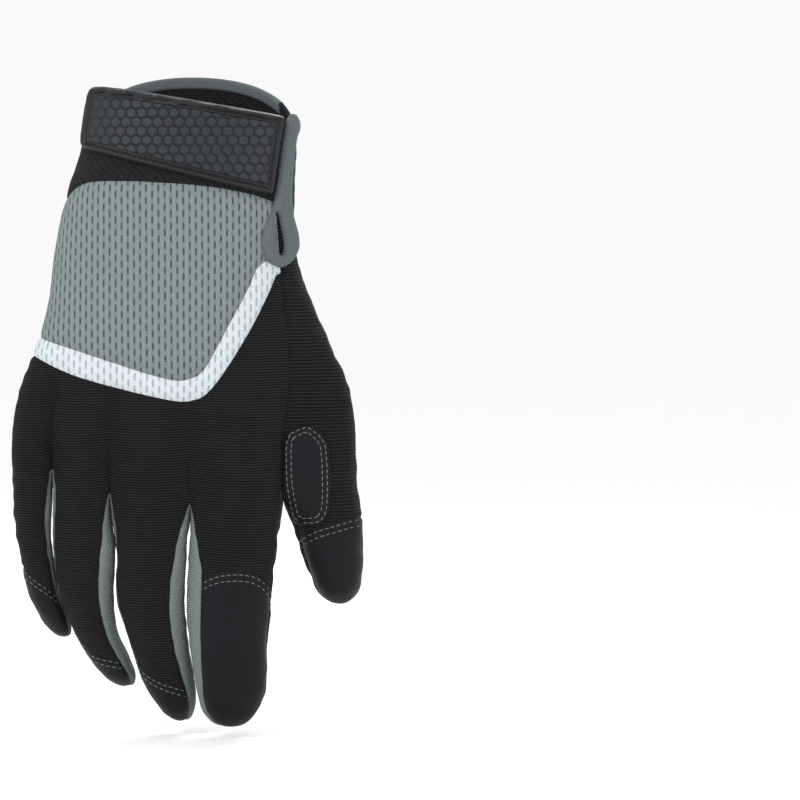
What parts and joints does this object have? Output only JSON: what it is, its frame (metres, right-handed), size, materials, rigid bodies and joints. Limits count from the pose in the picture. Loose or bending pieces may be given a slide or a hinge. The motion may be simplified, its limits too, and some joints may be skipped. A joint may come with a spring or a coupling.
{
  "type": "mechanic glove",
  "caption": "Right hand work glove with a ribbed knit back, mesh panel, padded leather palm, grey finger gussets and a moulded wrist strap.",
  "frame": {"origin": "in the hand opening, on the wrist's middle line where the strap sits", "axes": "+Z from the fingertips to the wrist, -Y out of the back of the hand, +Y out of the palm, +X to the thumb"},
  "size_m": [0.1311, 0.0533, 0.2455],
  "materials": {
    "ribbed_knit": "ribbed matt knit",
    "grey_mesh": "slit mesh knit",
    "white_film": "satin",
    "palm_suede": "matt suede",
    "smooth_leather": "fine matt",
    "touch_leather": "fine matt",
    "cuff_knit": "basket knit",
    "grey_binding": "woven tape",
    "grey_knit": "ribbed matt knit",
    "strap_rubber": "moulded matt",
    "badge_rubber": "moulded matt"
  },
  "bodies": {
    "root": {"knit_back": "ribbed_knit", "thumb_knit": "ribbed_knit", "mesh_panel": "grey_mesh", "white_band": "white_film", "palm_leather": "palm_suede", "palm_patch": "palm_suede", "thumb_crotch_patch": "smooth_leather", "cuff_back": "cuff_knit", "cuff_palm": "cuff_knit", "cuff_binding": "grey_binding", "keyhole_binding": "grey_binding", "wrist_strap": "strap_rubber", "round_badge": "badge_rubber", "fingertip_cap_little": "smooth_leather", "fingertip_cap_ring": "smooth_leather", "fingertip_cap_middle": "smooth_leather", "fingertip_cap_index": "smooth_leather", "fingertip_cap_thumb": "smooth_leather", "touch_tip_middle": "touch_leather", "touch_tip_index": "touch_leather", "touch_tip_thumb": "touch_leather", "fourchette_little_ring": "grey_knit", "fourchette_ring_middle": "grey_knit", "fourchette_middle_index": "grey_knit"}
  },
  "joints": []
}
